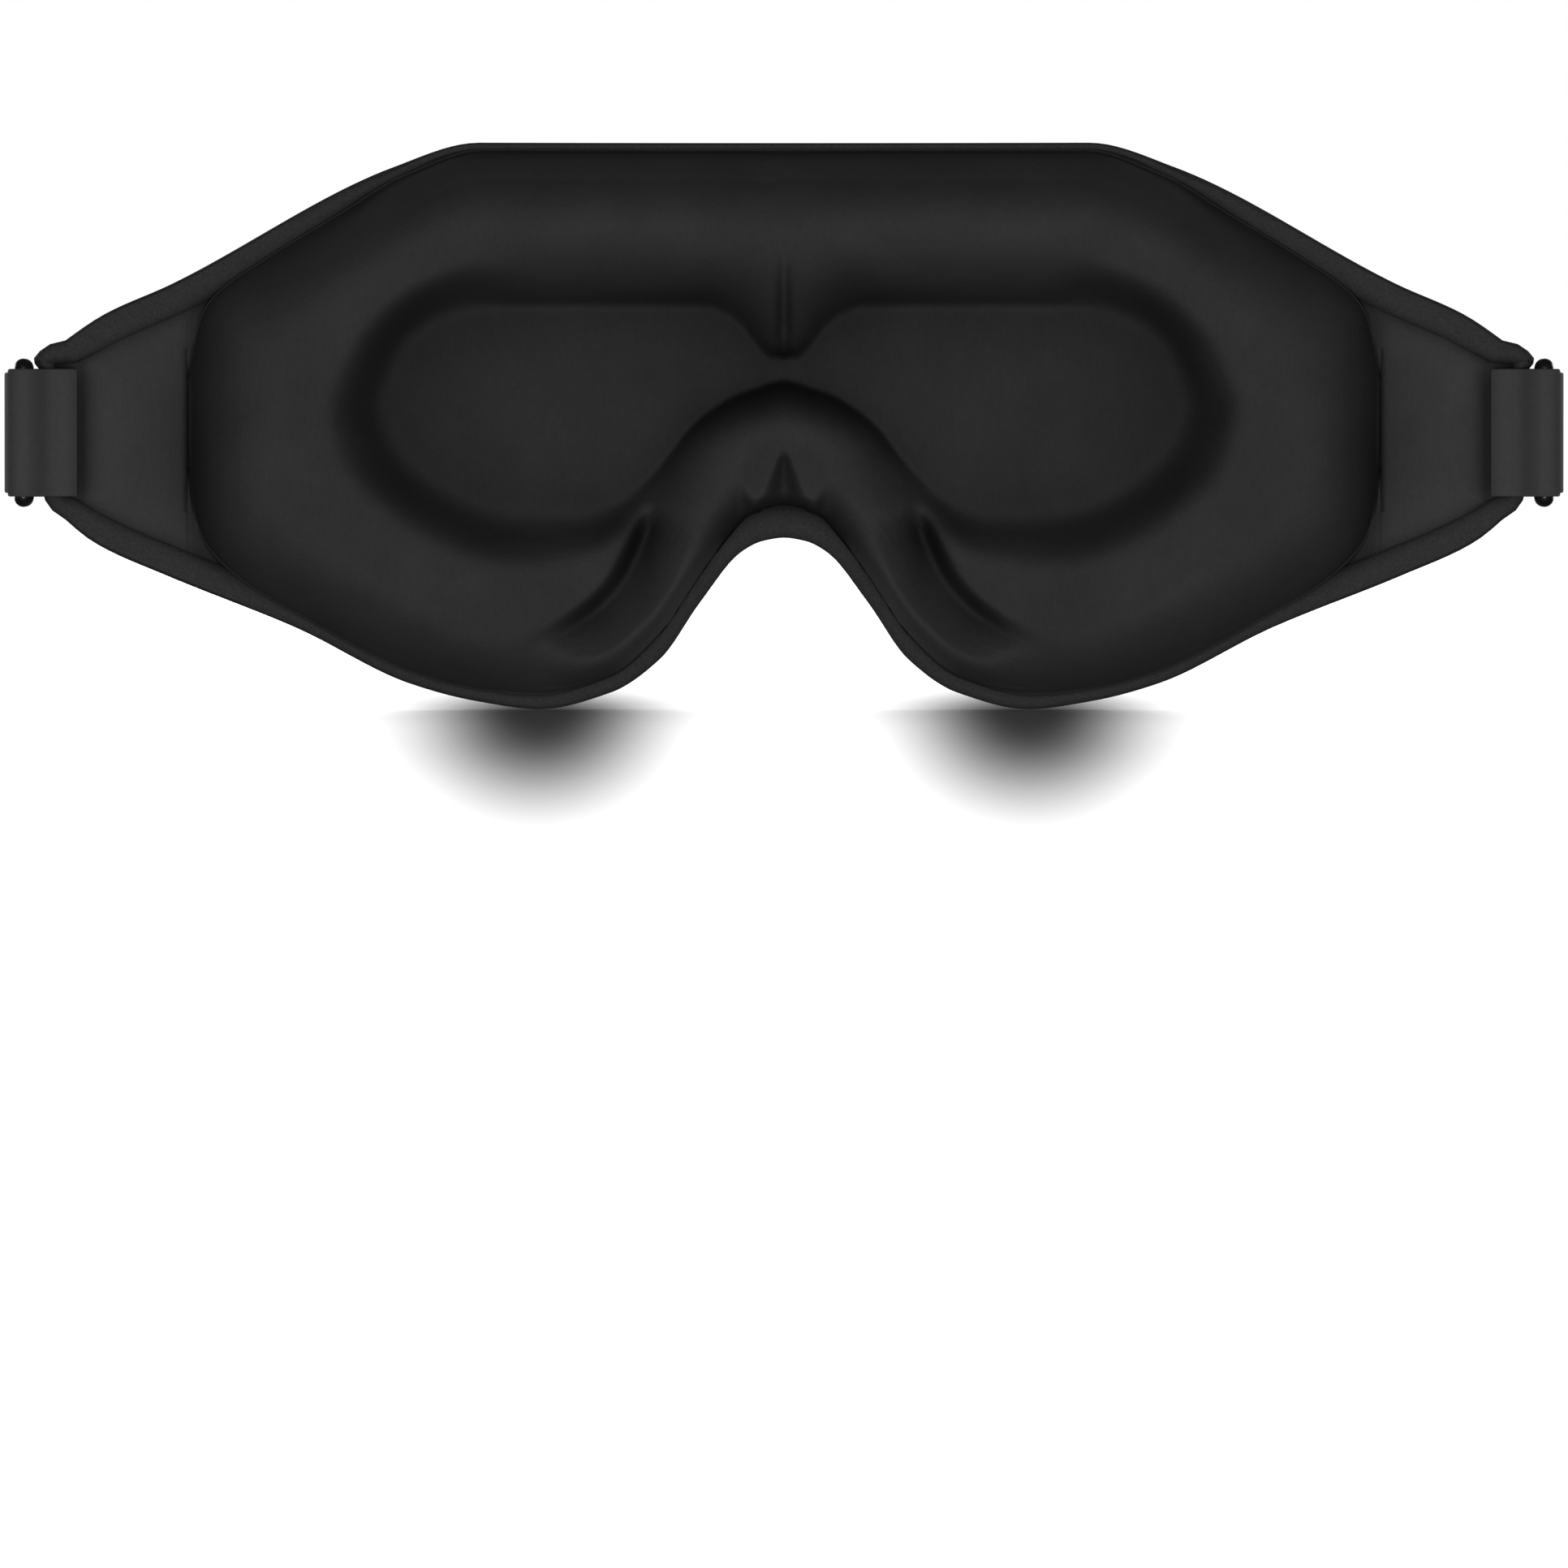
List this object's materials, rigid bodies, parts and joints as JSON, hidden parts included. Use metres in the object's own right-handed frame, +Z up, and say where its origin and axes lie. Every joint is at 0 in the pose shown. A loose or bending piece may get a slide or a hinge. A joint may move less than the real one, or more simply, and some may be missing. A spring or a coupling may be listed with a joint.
{
  "type": "sleep eye mask",
  "caption": "Contoured sleep eye mask: moulded pad with two eye cups and a nose arch, bound cover, end loops with rings, and an elastic head strap with sliders.",
  "frame": {"origin": "on the plane of symmetry, on the cover's outer face, at the middle of the strap's width", "axes": "as worn: +Z up, +Y ahead of the wearer (out of the cover), +X towards the wearer's right"},
  "size_m": [0.2436, 0.097, 0.0893],
  "materials": {
    "cover_knit": "matt brushed knit, black",
    "lining_knit": "smooth fine knit with a faint sheen, black",
    "memory_foam": "soft slow-recovery foam, dark grey, enclosed",
    "binding_tape": "folded knitted binding tape, black",
    "elastic_web": "ribbed woven elastic, black",
    "gloss_black": "glossy moulded black plastic"
  },
  "bodies": {
    "mask": {"front_cover": "cover_knit", "front_foam": "memory_foam", "moulded_pad": "memory_foam", "face_lining": "lining_knit", "top_binding": "binding_tape", "lower_binding": "binding_tape", "strap_band": "elastic_web"},
    "left_wing": {"left_wing_cover": "cover_knit", "left_wing_foam": "memory_foam", "left_wing_lining": "lining_knit", "left_wing_binding": "binding_tape", "left_end_loop": "elastic_web", "left_strap_lead": "elastic_web", "left_strap_return": "elastic_web"},
    "left_ring_body": {"left_ring": "gloss_black", "left_strap_turn": "elastic_web"},
    "left_slider": {"left_adjuster": "gloss_black", "left_strap_end": "elastic_web"},
    "right_wing": {"right_wing_cover": "cover_knit", "right_wing_foam": "memory_foam", "right_wing_lining": "lining_knit", "right_wing_binding": "binding_tape", "right_end_loop": "elastic_web", "right_strap_lead": "elastic_web", "right_strap_return": "elastic_web"},
    "right_ring_body": {"right_ring": "gloss_black", "right_strap_turn": "elastic_web"},
    "right_slider": {"right_adjuster": "gloss_black", "right_strap_end": "elastic_web"}
  },
  "joints": [
    {"name": "left_wing_flex", "type": "hinge", "parent": "mask", "child": "left_wing", "pos_m": [-0.0934, -0.01823, 0], "axis": [0, 0, 1], "range_deg": [-8, 30], "stiffness_Nm_per_rad": 0.02, "deforming": ["left_strap_lead"]},
    {"name": "left_ring_swivel", "type": "hinge", "parent": "left_wing", "child": "left_ring_body", "pos_m": [-0.1189, -0.02924, 0], "axis": [0, 0, 1], "range_deg": [0, 75]},
    {"name": "left_adjuster_slide", "type": "slide", "parent": "mask", "child": "left_slider", "axis": [0.766, 0.6428, 0], "range_m": [0, 0.028], "deforming": ["left_strap_return"]},
    {"name": "right_wing_flex", "type": "hinge", "parent": "mask", "child": "right_wing", "pos_m": [0.0934, -0.01823, 0], "axis": [0, 0, -1], "range_deg": [-8, 30], "stiffness_Nm_per_rad": 0.02, "deforming": ["right_strap_lead"]},
    {"name": "right_ring_swivel", "type": "hinge", "parent": "right_wing", "child": "right_ring_body", "pos_m": [0.1189, -0.02924, 0], "axis": [0, 0, -1], "range_deg": [0, 75]},
    {"name": "right_adjuster_slide", "type": "slide", "parent": "mask", "child": "right_slider", "axis": [-0.766, 0.6428, 0], "range_m": [0, 0.028], "deforming": ["right_strap_return"]}
  ]
}
